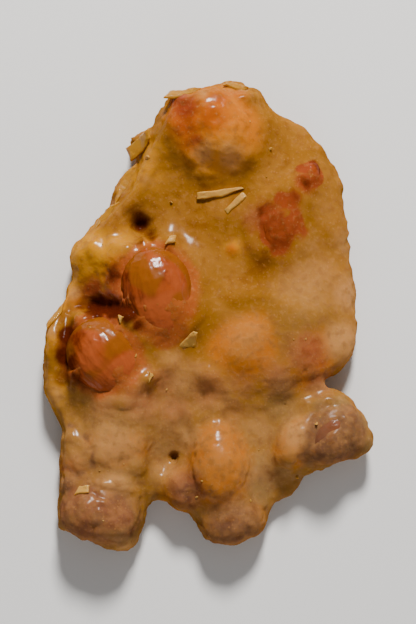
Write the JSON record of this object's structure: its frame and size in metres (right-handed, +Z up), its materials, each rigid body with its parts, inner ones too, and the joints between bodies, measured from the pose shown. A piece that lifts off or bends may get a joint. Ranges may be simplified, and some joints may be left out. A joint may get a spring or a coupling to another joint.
{
  "type": "nut brittle piece",
  "caption": "Broken piece of nut brittle: an amber sheet of hard candy with a snapped edge, with whole nuts bare or coated in it, lying flat.",
  "frame": {"origin": "middle of the bounding box at its base, on the surface that the piece lies on", "axes": "+Y along the length towards the end with the one large coated nut, +Z up out of the shown face, +X to the right as the piece is looked down on"},
  "size_m": [0.0434, 0.0626, 0.0101],
  "materials": {
    "candy": "glossy translucent amber candy, golden tan where it is thick",
    "nut_skin": "roasted red-brown nut skin under a thin clear glaze"
  },
  "bodies": {
    "root": {"candy": "candy", "nut_upper": "nut_skin", "nut_lower": "nut_skin", "nut_sunk": "nut_skin", "nut_chip": "nut_skin", "nut_foot": "nut_skin", "nut_lobe": "nut_skin"}
  },
  "joints": []
}
